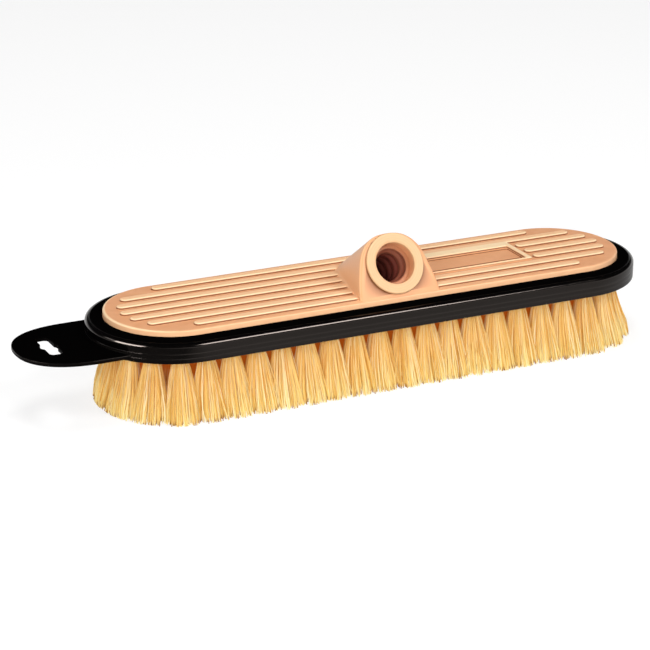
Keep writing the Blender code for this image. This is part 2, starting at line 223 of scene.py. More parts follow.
def stadium(half, radius, steps=48):
    """A plan outline as an (n, 2) array: a half circle of steps chords at each end of a spine."""
    turn = np.linspace(-np.pi / 2, np.pi / 2, steps + 1)
    right = np.stack([half + radius * np.cos(turn), radius * np.sin(turn)], 1)
    return np.concatenate([right, -right])


def level(outline, z):
    """The plan outline lifted to height z, in the brush's frame."""
    return np.column_stack([outline[:, 0] + block_x, outline[:, 1], np.full(len(outline), z)])


def skin(loops, ring=False):
    """Points and faces over loops of equal length: a quad between each two neighbours on two loops,
    and one flat face on the first loop and one on the last, unless the loops close in a ring."""
    loops = np.asarray(loops)
    index = np.arange(loops.shape[0] * loops.shape[1]).reshape(loops.shape[:2])
    if ring:
        index = np.concatenate([index, index[:1]])
    low, high = index[:-1], index[1:]
    quads = np.stack([low, np.roll(low, -1, 1), np.roll(high, -1, 1), high], -1).reshape(-1, 4)
    faces = quads.tolist()
    if not ring:
        faces += [index[0, ::-1].tolist(), index[-1].tolist()]
    return loops.reshape(-1, 3), faces


def solid(name, points, faces):
    """A closed mesh object at the origin, welded, with its faces turned outwards."""
    mesh = bpy.data.meshes.new(name)
    mesh.from_pydata(points.tolist(), [], faces)
    work = bmesh.new()
    work.from_mesh(mesh)
    bmesh.ops.remove_doubles(work, verts=work.verts, dist=2e-6)
    bmesh.ops.dissolve_degenerate(work, edges=work.edges, dist=1e-6)
    bmesh.ops.recalc_face_normals(work, faces=work.faces)
    work.to_mesh(mesh)
    work.free()
    piece = bpy.data.objects.new(name, mesh)
    scene.collection.objects.link(piece)
    return piece


def carve(piece, operation, *tools):
    """Joins each tool to the piece or cuts it away, at once, and removes the tool."""
    for tool in tools:
        change = piece.modifiers.new(tool.name, "BOOLEAN")
        change.operation, change.solver, change.object = operation, "EXACT", tool
        ready = piece.evaluated_get(bpy.context.evaluated_depsgraph_get())
        piece.data = bpy.data.meshes.new_from_object(ready)
        piece.modifiers.clear()
        bpy.data.objects.remove(tool)
    return piece


def dress(piece, material, slot, *nodes, sharp=30):
    """Gives the piece its material and smooth shading, and its place in the frame."""
    piece.data.materials.clear()
    piece.data.materials.append(material)
    piece.data.polygons.foreach_set("material_index", np.zeros(len(piece.data.polygons), np.int32))
    piece.data.shade_smooth()
    piece.data.set_sharp_from_angle(angle=math.radians(sharp))
    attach(piece, "root")
    if nodes:
        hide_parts(*nodes)
    return piece


def mark(mesh, name, values):
    """Stores one number for each vertex, which the material reads by that name."""
    layer = mesh.attributes.new(name, "FLOAT", "POINT")
    layer.data.foreach_set("value", np.asarray(values, np.float32).ravel())


def row_x(row):
    """The place along X of a row of tufts, from the block's middle."""
    return (row - (row_count - 1) / 2) * row_pitch


# Structural-foam polypropylene, moulded: a warm peach, faintly mottled where the foam swirled
# against the mould, with a soft satin shine and a fine leathery grain. The ribs' tops and the
# deck's outer wall are paler, a painted highlight lies along the edges and painted shade darkens
# the feet of the walls. The wedge's flank is painted paler to lift its shade, the collar's faced
# end is pale with faint turning rings, and painted shade darkens the bore's wall.
block_plastic, tree = new_material("moulded foam polypropylene")
place = add_node(tree, "TexCoord")
swirl = add_node(
    tree,
    "TexNoise",
    {
        "Vector": (place, "Object"),
        "Scale": 90.0,
        "Detail": 4.0,
        "Roughness": 0.6,
        "Distortion": 0.8,
    },
)
fleck = add_node(
    tree,
    "TexNoise",
    {"Vector": (place, "Object"), "Scale": 1400.0, "Detail": 2.0, "Roughness": 0.5},
)
tone = add_node(tree, "MapRange", {"Value": (swirl, 0), "From Min": 0.3, "From Max": 0.7})
body = add_node(
    tree, "Mix", {0: (tone, 0), 6: paint("#E09F72"), 7: paint("#EAAC7E")}, data_type="RGBA"
)
shade = body
for name, code in (
    # crown: paler tops of the ribs and the deck's outer wall, and painted light on the wedge's
    # flank
    ("crown", "#F8C596"),
    # edge: a painted highlight along the rounded edges of the ribs and the deck
    ("edge", "#FFE0B4"),
    # painted shade at the feet of the rib walls and round the collar's side
    ("groove", "#804A2A"),
    ("plate", "#E8A676"),
    ("faced", "#DEB486"),
    # painted shade on the bore's wall, darker with depth
    ("deep", "#74382E"),
):
    worn = add_node(tree, "Attribute", attribute_name=name)
    shade = add_node(
        tree, "Mix", {0: (worn, "Fac"), 6: (shade, 2), 7: paint(code)}, data_type="RGBA"
    )
grain = add_node(tree, "Bump", {"Height": (fleck, 0), "Strength": 0.25, "Distance": 0.00015})
plastic_shader = add_node(
    tree,
    "BsdfPrincipled",
    {
        "Base Color": (shade, 2),
        "Roughness": 0.42,
        "IOR": 1.49,
        "Specular IOR Level": 0.4,
        "Normal": (grain, 0),
    },
)
add_node(tree, "OutputMaterial", {"Surface": (plastic_shader, 0)})

tuft_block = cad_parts["tuft_block"]
tuft_block.data.materials.clear()
tuft_block.data.materials.append(block_plastic)

underside = solid(
    "tuft_block_underside",
    *skin([level(stadium(spine_half, field_radius), z) for z in (underside_bottom, underside_top)]),
)
outlet_turns = np.linspace(0, 2 * np.pi, 24, endpoint=False)
outlet_circle = outlet_radius * np.stack([np.cos(outlet_turns), np.sin(outlet_turns)], 1)
outlet_cuts = [
    solid(
        "outlet_cut",
        *skin(
            [
                level(outlet_circle + (row_x(row), side * outlet_spread), z)
                for z in (underside_bottom - mm, underside_top + mm)
            ]
        ),
    )
    for row in outlet_rows
    for side in (-1, 1)
]
carve(underside, "DIFFERENCE", *outlet_cuts)
dress(underside, block_plastic, "block_plastic")

# Bristle tufts: crimped polystyrene fibre, cream, folded and stapled into the drilled holes and cut
# off level. Each tuft fans out from its hole until it meets its neighbours, and those at the edge
# curve outwards.

tuft_reach = field_radius - 5.5 * mm
tuft_pitch_across = 17.0 * mm
tuft_splay = 6.5 * mm
fibres_a_tuft = 400
fibre_radius = 0.27 * mm
tip_limit, left_tip_limit, end_taper = 49.8 * mm, 46.4 * mm, 5.5 * mm
rim_tufts, rim_start = 46, 6.5 * mm
flare_at = [0, 0.1, 0.2, 0.4, 0.6, 0.8, 1]
flare_radius = np.array([3.0, 4.5, 5.5, 7.0, 8.3, 9.4, 10.1]) * mm
root_crowding, tuft_flatness = 0.4, 0.94
splay_power = 1.8
fibre_stray, cut_unevenness = 1.1 * mm, 0.5 * mm
crimp_swing, crimp_waves = 0.42 * mm, 1.4
inner_rise, inner_start, inner_side = 4, 0.12, 0.8
fibre_stations = 6
fibre_sides = 3
root_level = underside_bottom + 0.3 * mm


def rim_ring():
    """Centres of the outermost tufts: an even walk round the rim, from the front's left end."""
    straight, bend = 2 * spine_half, np.pi * tuft_reach
    walk = rim_start + np.arange(rim_tufts) * 2 * (straight + bend) / rim_tufts
    far = walk >= straight + bend
    walk = walk - far * (straight + bend)
    turn = np.maximum(walk - straight, 0) / tuft_reach
    x = np.minimum(walk, straight) - spine_half + tuft_reach * np.sin(turn)
    y = -tuft_reach * np.cos(turn)
    return np.stack([x, y], 1) * np.where(far, -1, 1)[:, None]


def tuft_roots(row):
    """Centres of a row's tufts as an (n, 2) array: the inner ones stand in line across the block,
    and the outer ones are those of the rim's ring that lie nearest to the row."""
    x = row_x(row)
    half = math.sqrt(max(0, tuft_reach**2 - max(0, abs(x) - spine_half) ** 2))
    count = max(2, 1 + round(2 * half / tuft_pitch_across))
    inner = np.column_stack([np.full(count, x), np.linspace(-half, half, count)])[1:-1]
    ring = rim_ring()
    return np.concatenate([inner, ring[np.abs(ring[:, 0] - x) <= row_pitch / 2]])


def make_fibres(row):
    """Fibres as thin three-sided rods. Each starts at a random place in its tuft's round root. Its
    distance from the tuft's middle grows quickly at first and then slowly, while the tuft's middle
    itself curves outwards as the way down raised to splay_power; a small sideways wave is added.
    Each vertex gets a random tone, its way down, and how deep inside the brush its fibre is."""
    chance = np.random.default_rng(100 + row)
    roots = tuft_roots(row)
    count = len(roots) * fibres_a_tuft
    tuft = np.repeat(roots, fibres_a_tuft, 0)
    spine = np.column_stack([np.clip(tuft[:, 0], -spine_half, spine_half), np.zeros(count)])
    lean = (tuft - spine) * tuft_splay / tuft_reach
    outward = lean / np.maximum(np.linalg.norm(lean, axis=1, keepdims=True), 1e-9)
    outward[np.linalg.norm(lean, axis=1) < 1e-6] = (0, 1)
    along = np.column_stack([outward[:, 1], -outward[:, 0]])

    spread = chance.uniform(0, 1, count) ** root_crowding
    turn = chance.uniform(0, 2 * np.pi, count)
    away = along * (spread * np.cos(turn))[:, None]
    away = away + outward * (spread * np.sin(turn))[:, None] * tuft_flatness
    stray = chance.normal(0, fibre_stray, (count, 2))
    tip_level = np.abs(chance.normal(0, cut_unevenness, count))
    edge = 1 - np.linalg.norm(tuft - spine, axis=1) / tuft_reach
    turned_out = (away * outward).sum(1)
    inner = np.clip(edge * inner_rise + inner_start - turned_out * inner_side, 0, 1)

    t = np.linspace(0, 1, fibre_stations)
    flare = np.interp(t, flare_at, flare_radius)
    plan = tuft[:, None] + away[:, None] * flare[:, None]
    plan = plan + lean[:, None] * (t**splay_power)[:, None] + stray[:, None] * t[:, None]
    phase = chance.uniform(0, 2 * np.pi, (count, 1, 2))
    swing = chance.normal(0, crimp_swing, (count, 1, 2))
    plan = plan + swing * t[:, None] * np.sin(2 * np.pi * crimp_waves * t[:, None] + phase)
    middle = np.stack([np.clip(plan[..., 0], -spine_half, spine_half), 0 * plan[..., 1]], -1)
    reach = np.linalg.norm(plan - middle, axis=-1, keepdims=True)
    endward = (plan - middle)[..., :1] / np.maximum(reach, 1e-9)
    limit = np.where(endward < 0, left_tip_limit, tip_limit) - end_taper * (1 - t[:, None])
    limit = tip_limit + (limit - tip_limit) * endward**2
    plan = middle + (plan - middle) * np.minimum(1, limit / np.maximum(reach, 1e-9))
    z = root_level + (tip_level[:, None, None] - root_level) * t[None, :, None]
    line = np.concatenate([plan, z], 2)

    corner = 2 * np.pi * np.arange(fibre_sides) / fibre_sides + chance.uniform(0, 6, (count, 1, 1))
    size = fibre_radius * chance.uniform(0.75, 1.2, (count, 1, 1)) * np.ones((1, fibre_stations, 1))
    ring = np.stack([size * np.cos(corner), size * np.sin(corner), 0 * size * corner], -1)
    points = line[:, :, None] + ring
    points[..., 0] += block_x

    index = np.arange(points[..., 0].size).reshape(count, fibre_stations, fibre_sides)
    low, high = index[:, :-1], index[:, 1:]
    quads = np.stack([low, high, np.roll(high, -1, 2), np.roll(low, -1, 2)], -1).reshape(-1, 4)
    ends = np.concatenate([index[:, 0], index[:, -1, ::-1]])
    tone = np.broadcast_to(chance.uniform(0, 1, (count, 1, 1)), index.shape)
    far = np.broadcast_to(t[None, :, None], index.shape)
    inner = np.broadcast_to(inner[:, None, None], index.shape)
    return points.reshape(-1, 3), quads, ends, {"tone": tone, "far": far, "inner": inner}


# Crimped polystyrene bristle: cream with golden fibres among the pale ones. Painted shade makes
# the fibres golden towards the holes, and a deep orange on the tufts' inner sides near the holes,
# for the orange of light that has come through many fibres; a faint painted glow, strongest there,
# stands for the light that wanders on among the fibres. More than a quarter of the cut ends are
# brown.
bristle_fibre, tree = new_material("crimped polystyrene bristle")
fibre_tone = add_node(tree, "Attribute", attribute_name="tone")
fibre_far = add_node(tree, "Attribute", attribute_name="far")
fibre_inner = add_node(tree, "Attribute", attribute_name="inner")
tint = add_node(tree, "ValToRGB", {0: (fibre_tone, "Fac")})
knobs = tint.color_ramp.elements
knobs[0].color, knobs[-1].color = paint("#E0AE58"), paint("#FEF8D6")
for stop, code in ((0.15, "#F2D480"), (0.4, "#FBE69A"), (0.7, "#FCF0B6")):
    knobs.new(stop).color = paint(code)
from_root = add_node(
    tree,
    "MapRange",
    {"Value": (fibre_far, "Fac"), "From Min": 0.45, "From Max": 0.9, "To Min": 1.0, "To Max": 0.0},
)
# Painted shade: the fibres turn golden towards the holes.
root_shade_share = add_node(tree, "Math", {0: (from_root, 0), 1: 0.22}, operation="MULTIPLY")
root_shaded = add_node(
    tree, "Mix", {0: (root_shade_share, 0), 6: (tint, 0), 7: paint("#F2B65A")}, data_type="RGBA"
)
# Painted shade: a deep orange on the tufts' inner sides near the holes.
orange_shade_share = add_node(
    tree, "Math", {0: (from_root, 0), 1: (fibre_inner, "Fac")}, operation="MULTIPLY"
)
orange_shade = add_node(
    tree, "Mix", {0: (orange_shade_share, 0), 6: (root_shaded, 2), 7: paint("#BE6A1E")}, data_type="RGBA"
)
at_tip = add_node(
    tree, "MapRange", {"Value": (fibre_far, "Fac"), "From Min": 0.93, "From Max": 1.0}
)
is_brown = add_node(tree, "Math", {0: (fibre_tone, "Fac"), 1: 0.28}, operation="LESS_THAN")
brown_share = add_node(tree, "Math", {0: (at_tip, 0), 1: (is_brown, 0)}, operation="MULTIPLY")
cut = add_node(
    tree, "Mix", {0: (brown_share, 0), 6: (orange_shade, 2), 7: paint("#A8662A")}, data_type="RGBA"
)
fibre_skin = add_node(
    tree,
    "BsdfPrincipled",
    {"Base Color": (cut, 2), "Roughness": 0.55, "IOR": 1.5, "Specular IOR Level": 0.12},
)
fibre_glow = add_node(tree, "BsdfTranslucent", {"Color": (cut, 2)})
fibre_mix = add_node(tree, "MixShader", {0: 0.42, 1: (fibre_skin, 0), 2: (fibre_glow, 0)})
# Painted glow: an emission in the fibres' own colour, strongest where the orange shade is.
wander = add_node(
    tree,
    "MapRange",
    {"Value": (orange_shade_share, 0), "From Min": 0.5, "From Max": 1.0, "To Min": 0.06, "To Max": 0.27},
)
painted_glow = add_node(tree, "Emission", {"Color": (cut, 2), "Strength": (wander, 0)})
fibre_shader = add_node(tree, "AddShader", {0: (fibre_mix, 0), 1: (painted_glow, 0)})
add_node(tree, "OutputMaterial", {"Surface": (fibre_shader, 0)})

for row in range(row_count):
    name = f"bristle_row_{row + 1:02d}"
    points, quads, ends, marks = make_fibres(row)
    mesh = bpy.data.meshes.new(name)
    mesh.from_pydata(points.tolist(), [], quads.tolist() + ends.tolist())
    for label, values in marks.items():
        mark(mesh, label, values)
    tufts = bpy.data.objects.new(name, mesh)
    scene.collection.objects.link(tufts)
    dress(tufts, bristle_fibre, "bristle_fibre", f"tuft_row_{row + 1:02d}", sharp=75)

# Chamber gasket: a flat frame of black rubber, laid on the tuft block and open over the water
# channel, so that the two halves hold water when the bumper clamps them.

# Soft black rubber, cut from sheet: a dull, slightly dusty black.
gasket_rubber, tree = new_material("die-cut sheet rubber")
place = add_node(tree, "TexCoord")
dust = add_node(tree, "TexNoise", {"Vector": (place, "Object"), "Scale": 300.0, "Detail": 3.0})
dusty = add_node(
    tree, "Mix", {0: (dust, 0), 6: paint("#161616"), 7: paint("#262626")}, data_type="RGBA"
)
rubber_shader = add_node(tree, "BsdfPrincipled", {"Base Color": (dusty, 2), "Roughness": 0.8})
add_node(tree, "OutputMaterial", {"Surface": (rubber_shader, 0)})
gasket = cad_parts["chamber_gasket"]
gasket.data.materials.clear()
gasket.data.materials.append(gasket_rubber)

# Top block: the upper half, one moulding of foamed plastic with seven grip ribs, a bare sunk panel
# with a raised border at the right, and the wedge with the handle's threaded socket. The bumper
# clamps its flange.

cap_bottom, flange_top, deck_top = 45.3 * mm, 47.3 * mm, 54.5 * mm
deck_radius = outer_radius - 10.1 * mm
flange_radius = outer_radius - 4.3 * mm
deck_draft, deck_edge_round, deck_margin = 0.4 * mm, 1.0 * mm, 2.2 * mm
rib_pitch, rib_half_width = 10.7 * mm, 3.1 * mm
rib_border, rib_in_wedge = 8.4 * mm, 5 * mm
panel_x = np.array((30.0, 105.5)) * mm
panel_y = np.array((-13.8, 20.0)) * mm
panel_to_rib = 2.0 * mm
recess_x = np.array((30.0, 102.0)) * mm
recess_y = np.array((-12.4, 12.4)) * mm
line_x = np.array((34.0, 101.0)) * mm
line_y = np.array((-9.4, 9.6)) * mm
line_width, line_rise = 0.8, 0.4
channel_half, channel_radius, channel_depth = 119 * mm, 12 * mm, 3.5 * mm
socket_x = 1.2 * mm
socket_lean = math.radians(29.33)
mouth_normal = np.array([0, -math.cos(socket_lean), math.sin(socket_lean)])
face_up = np.array([0, math.sin(socket_lean), math.cos(socket_lean)])
across = np.array([1.0, 0, 0])
wedge_front, foot_dip = -39.8 * mm, 1.2 * mm
wedge_round_least, wedge_round_most = 0.5 * mm, 1.9 * mm
fillet_sunk, wedge_buried = 0.12 * mm, 2.2 * mm
face_foot = np.array([socket_x, wedge_front, deck_top - foot_dip])
face_rise = 20.9 * mm
face_centre = face_foot + face_up * face_rise
collar_radius, collar_proud = 18.3 * mm, 2.0 * mm
mouth_centre = face_centre + mouth_normal * collar_proud
counterbore_radius, counterbore_depth = 12.35 * mm, 7.1 * mm
thread_major, thread_minor, thread_pitch, bore_depth = 10.1 * mm, 8.3 * mm, 8.47 * mm, 42 * mm


def rounded_bar(x_low, x_high, y):
    """A grip rib: round-ended loops whose inset and height follow a section with steep sides, round
    edges and a faintly dished top."""
    section = [(-0.05, -1.0), (0.0, 0.0), (0.04, 0.1), (0.14, 0.62), (0.24, 0.86), (0.42, 1.08)]
    section += [(0.68, 1.23), (1.0, 1.3), (1.4, 1.31), (2.1, 1.27), (2.9, 1.25)]
    half = (x_high - x_low) / 2 - rib_half_width
    middle = ((x_low + x_high) / 2, y)
    end_steps, side_step = 10, 4 * mm
    steps = max(2, round(2 * half / side_step))
    loops = []
    for inset, rise in section:
        ends = stadium(half, rib_half_width - inset * mm, end_steps)
        first, last = ends[end_steps], ends[end_steps + 1]
        side = first + np.linspace(0, 1, steps + 1)[1:-1, None] * (last - first)
        outline = np.concatenate([ends[: end_steps + 1], side, ends[end_steps + 1 :], -side])
        loops.append(level(outline + middle, deck_top + rise * mm))
    return skin(loops)


def rounded_plate(x_span, y_span, corner, section):
    """A plate with round corners: loops whose outset and height follow a section in millimetres."""
    turn = np.linspace(0, 2 * np.pi, 32, endpoint=False) + np.pi / 32
    corners = np.stack([np.sign(np.cos(turn)), np.sign(np.sin(turn))], 1)
    middle = np.array([x_span.mean(), y_span.mean()])
    half = np.array([np.ptp(x_span), np.ptp(y_span)]) / 2 - corner
    outline = corners * half + middle
    arc = np.stack([np.cos(turn), np.sin(turn)], 1)
    return skin(
        [level(outline + arc * (corner + out * mm), deck_top + rise * mm) for out, rise in section]
    )


def smooth_half(knots):
    """Half a symmetric outline through the knots, evenly stepped and smoothed by a running mean. It
    runs from the front corner, the first knot, to the middle of the far end. The first column is
    the half width."""
    knots = np.array(knots)
    reach = np.concatenate([[0], np.cumsum(np.linalg.norm(np.diff(knots[:, :2], axis=0), axis=1))])
    at = np.linspace(0, reach[-1], 400)
    curve = np.stack([np.interp(at, reach, column) for column in knots.T], 1)
    kernel = np.hanning(61) / np.hanning(61).sum()
    mirror = np.where(np.arange(knots.shape[1]) == 0, -1, 1)
    padded = np.concatenate([2 * curve[0] - curve[30:0:-1], curve, curve[-2:-32:-1] * mirror])
    return np.stack([np.convolve(column, kernel, "valid") for column in padded.T], 1) * mm


# Where the wedge's flank would meet the deck: half width, y, and the width of the hollow fillet.
ground = smooth_half(
    [
        (26.4, -39.8, 0.3),
        (25.9, -36.0, 1.0),
        (24.7, -29.3, 2.2),
        (22.8, -19.0, 3.4),
        (21.2, -10.0, 4.2),
        (19.4, -1.0, 4.6),
        (17.6, 8.0, 4.2),
        (15.4, 16.0, 3.6),
        (12.0, 22.5, 3.2),
        (7.0, 27.2, 2.8),
        (0.0, 29.4, 2.6),
    ]
)
# The outline of the socket's face: half width, and the distance up the face from its foot.
face_side = smooth_half(
    [
        (26.4, 0.0),
        (26.2, 5.0),
        (25.3, 10.0),
        (24.1, 15.0),
        (22.7, 20.0),
        (21.2, 25.0),
        (19.0, 30.3),
        (15.3, 34.8),
        (10.7, 38.0),
        (6.0, 39.5),
        (0.0, 39.9),
    ]
)


def wedge_half_width(y):
    """Half the wedge's width on the deck at that place from front to back, or 0 behind it."""
    return float(np.interp(y, ground[:, 1], ground[:, 0])) if y < ground[-1, 1] else 0.0


def rib_spans(y):
    """The stretches of one rib: it runs into the wedge and stops short of the panel's border."""
    reach = spine_half + math.sqrt(max(0, (deck_radius - rib_border) ** 2 - y**2))
    start = -reach
    half = wedge_half_width(y)
    if half:
        yield start, socket_x - half + rib_in_wedge
        start = socket_x + half - rib_in_wedge
    if panel_y[0] < y < panel_y[1]:
        start = panel_x[1] + panel_to_rib
    yield start, reach


deck_section = [(flange_radius, cap_bottom), (flange_radius, flange_top), (deck_radius, flange_top)]
rib_places = []
for turn in np.linspace(0, np.pi / 2, 7):
    deck_section.append(
        (
            deck_radius - deck_draft - deck_edge_round * (1 - math.cos(turn)),
            deck_top - deck_edge_round * (1 - math.sin(turn)),
        )
    )
deck_section.append((deck_radius - deck_margin, deck_top))
top_block = solid(
    "top_block_moulding",
    *skin([level(stadium(spine_half, radius), z) for radius, z in deck_section]),
)
for rib in range(7):
    y = (rib - 3) * rib_pitch
    for low, high in rib_spans(y):
        carve(top_block, "UNION", solid("rib", *rounded_bar(low, high, y)))
        rib_places.append((y, low + rib_half_width, high - rib_half_width))

border_section = [(0.05, -1.0), (0, 0), (-0.15, 0.75), (-0.25, 1.0), (-0.42, 1.18)]
border_section += [(-0.62, 1.27), (-0.9, 1.3)]
recess_section = [(-0.3, 0.0), (-0.08, 0.12), (0, 0.3), (0.08, 1.0), (0.22, 1.22), (0.6, 1.6)]
panel_border = rounded_plate(panel_x, panel_y, 1.2 * mm, border_section)
panel_recess = rounded_plate(recess_x, recess_y, 1.0 * mm, recess_section)
carve(top_block, "UNION", solid("panel_border", *panel_border))
carve(top_block, "DIFFERENCE", solid("panel_recess", *panel_recess))


def ridge_frame(x_span, y_span, width, rise):
    """A thin raised line round a rectangle: its section is a low round-topped bar."""
    loops = []
    for out, up in ((0, -0.3), (0, 0.45), (0.3, 0.9), (0.5, 1.0), (0.7, 0.9), (1, 0.45), (1, -0.3)):
        points, _ = rounded_plate(x_span, y_span, 1.2 * mm, [(-out * width, up * rise)])
        loops.append(points)
    return skin(loops, ring=True)


panel_line = ridge_frame(line_x, line_y, line_width, line_rise)
carve(top_block, "UNION", solid("panel_line", *panel_line))


def wedge_surface():
    """The wedge between two curves, the outline of the socket's face and the one on the deck.
    Straight lines join them, the front edge is a quarter round, and a hollow fillet, a parabola's
    arc, leads each line out on to the deck."""
    s = np.linspace(0, 1, 61)
    up = s * (len(face_side) - 1)
    width, lift = (np.interp(up, np.arange(len(face_side)), column) for column in face_side.T)
    at = np.interp(s, [0, 0.45, 0.7, 1.0], [0, 0.55, 0.8, 1.0]) * (len(ground) - 1)
    low = np.stack([np.interp(at, np.arange(len(ground)), column) for column in ground.T], 1)

    width = np.concatenate([width, -width[-2::-1]])
    lift = np.concatenate([lift, lift[-2::-1]])
    low = np.concatenate([low, low[-2::-1] * (-1, 1, 1)])
    step = np.gradient(np.stack([width, lift], 1), axis=0)
    inward = np.stack([-step[:, 1], step[:, 0]], 1)
    inward /= np.linalg.norm(inward, axis=1, keepdims=True)
    ground_step = np.gradient(low[:, :2], axis=0)
    outward = np.stack([ground_step[:, 1], -ground_step[:, 0]], 1)
    outward /= np.linalg.norm(outward, axis=1, keepdims=True)

    edge = face_foot + across * width[:, None] + face_up * lift[:, None]
    dip = np.interp(low[:, 1], [wedge_front, wedge_front + 1.2 * mm], [-foot_dip, 0])
    foot = np.column_stack([low[:, 0] + socket_x, low[:, 1], deck_top + dip])
    rim = np.column_stack([foot[:, :2] + outward * low[:, 2:], foot[:, 2] - fillet_sunk])
    down = foot - edge
    length = np.linalg.norm(down, axis=1, keepdims=True)
    down /= np.maximum(length, 1e-9)
    edge_round = np.minimum(wedge_round_most, wedge_round_least + length * 0.4)

    loops = []
    for angle in np.linspace(0, np.pi / 2, 8):
        pull = edge_round * (1 - math.sin(angle))
        shift = across * (inward[:, :1] * pull) + face_up * (inward[:, 1:] * pull)
        drop = np.minimum(edge_round * (1 - math.cos(angle)), length * 0.5)
        loops.append(edge + shift + down * drop)
    start = loops[-1]
    hollow = foot - down * np.minimum(low[:, 2:] * 1.1, length * 0.45)
    for along in np.linspace(0.06, 1, 16):
        loops.append(start + (hollow - start) * along)
    for along in np.linspace(0.12, 1, 9):
        loops.append(hollow * (1 - along) ** 2 + foot * 2 * along * (1 - along) + rim * along**2)
    buried = rim.copy()
    buried[:, 2] = deck_top - wedge_buried
    loops.append(buried)
    loops = np.array(loops)
    loops[..., 0] += block_x
    return skin(loops)


def about_bore(radius, depth, steps=72):
    """A loop round the socket's axis at that depth; radius is one number or one for each step."""
    turn = np.linspace(0, 2 * np.pi, steps, endpoint=False)
    loop = mouth_centre - mouth_normal * depth + (radius * np.sin(turn))[:, None] * across
    loop = loop + (radius * np.cos(turn))[:, None] * face_up
    return loop + (block_x, 0, 0)


def collar_shape():
    """The collar: a short cylinder round the axis, with its outer edge rounded, a narrow groove
    where it stands out of the wedge's face, and rings on its face from the turning tool. The
    profile gives radius and depth in millimetres."""
    outer = collar_radius / mm
    profile = [(outer, 10), (outer, 2.2), (17.2, 2.1), (17.15, 1.4), (outer, 1.2), (outer, 0.7)]
    for turn in np.linspace(0.2, np.pi / 2, 6):
        profile.append((outer - 0.7 * (1 - math.cos(turn)), 0.7 * (1 - math.sin(turn))))
    for step, radius in enumerate(np.arange(17.2, 13.2, -0.7)):
        profile.append((radius, 0.05 * (step % 2)))
    return skin([about_bore(radius * mm, depth * mm) for radius, depth in profile])


def bore_shape():
    """The bore: a counterbore with a rounded mouth, a flat shoulder, then a right-hand thread whose
    radius falls and rises once in each pitch, along a helix."""
    mouth_round, steepness = 0.7 * mm, 2.2
    loops = [about_bore(counterbore_radius + 0.9 * mm, -1.0 * mm)]
    for turn in np.linspace(0, np.pi / 2, 6):
        wider, depth = mouth_round * (1 - math.sin(turn)), mouth_round * (1 - math.cos(turn))
        loops.append(about_bore(counterbore_radius + wider, depth))
    for depth in np.linspace(1.2 * mm, counterbore_depth, 6):
        loops.append(about_bore(counterbore_radius, depth))
    loops.append(about_bore(thread_major + 0.5 * mm, counterbore_depth))
    around = np.linspace(0, 2 * np.pi, 72, endpoint=False)
    for along in np.linspace(0.5 * mm, bore_depth - counterbore_depth, 84):
        phase = 2 * np.pi * along / thread_pitch - around
        wave = 0.5 - 0.5 * np.tanh(steepness * np.cos(phase)) / math.tanh(steepness)
        fade = min(1, along / (thread_pitch / 2))
        radius = thread_major - (thread_major - thread_minor) * wave * fade
        loops.append(about_bore(radius, counterbore_depth + along))
    return skin(loops)


channel = stadium(channel_half, channel_radius, steps=24)
channel_levels = (cap_bottom - 2 * mm, cap_bottom + channel_depth)
channel_cut = skin([level(channel, z) for z in channel_levels])
carve(top_block, "UNION", solid("wedge", *wedge_surface()))
carve(top_block, "UNION", solid("collar", *collar_shape()))
carve(top_block, "DIFFERENCE", solid("channel_cut", *channel_cut))
carve(top_block, "DIFFERENCE", solid("bore_cut", *bore_shape()))

# The paint marks, from each vertex's place: on the ribs and the panel's border the paler tops, a
# painted highlight on the rounded edges and painted shade at the feet of the walls; a painted
# highlight on the deck's own rounded edge, and the deck's paler outer wall; the wedge, with painted
# light on its shaded flank; the collar's face, its rings and painted shadow in the groove behind
# it; and painted shade on the bore's wall, which turns dark in the first millimetres down. Heights,
# insets, depths and radii are in millimetres here.
place = np.array([vertex.co for vertex in top_block.data.vertices]) - (block_x, 0, 0)
rise = (place[:, 2] - deck_top) / mm
wedge_reach = np.interp(place[:, 1], ground[:, 1], ground[:, 0] + 0.5 * mm, right=0)
on_deck = np.abs(place[:, 0] - socket_x) > wedge_reach
inset = np.full(len(place), -9.0)
facing = np.zeros(len(place))
for y, low, high in rib_places:
    off = place[:, :2] - np.column_stack([np.clip(place[:, 0], low, high), np.full(len(place), y)])
    from_spine = np.linalg.norm(off, axis=1)
    closer = (rib_half_width - from_spine) / mm > inset
    inset = np.where(closer, (rib_half_width - from_spine) / mm, inset)
    facing = np.where(closer, -off[:, 1] / np.maximum(from_spine, 1e-9), facing)
in_panel = (place[:, 0] > panel_x[0] - 0.3 * mm) & (place[:, 0] < panel_x[1] + 0.3 * mm)
in_panel &= (place[:, 1] > panel_y[0] - 0.3 * mm) & (place[:, 1] < panel_y[1] + 0.3 * mm)
on_rib = (inset > -0.1) | in_panel
# Painted highlight along the ribs' rounded top edges, stronger on those that face the front.
edge = np.interp(rise, [0.7, 0.9, 1.4], [0, 1, 1]) * np.interp(inset, [0.9, 1.5], [1, 0])
edge = edge * np.interp(facing, [-0.5, 0.5], [0.4, 1]) * on_rib * on_deck
to_rim = place[:, :2] - np.column_stack([np.clip(place[:, 0], -spine_half, spine_half), 0 * inset])
from_rim = (deck_radius - np.linalg.norm(to_rim, axis=1)) / mm
# Painted highlight on the deck's rounded rim, full at its left tip and faint elsewhere.
rim = np.interp(from_rim, [0.4, 0.6, 1.45, 1.6], [0, 1, 0.8, 0]) * (rise > -0.8) * (rise < 0.05)
rim = rim * np.interp(place[:, 0], [-165 * mm, -140 * mm], [1, 0.12])
mark(top_block.data, "edge", np.maximum(edge, rim))
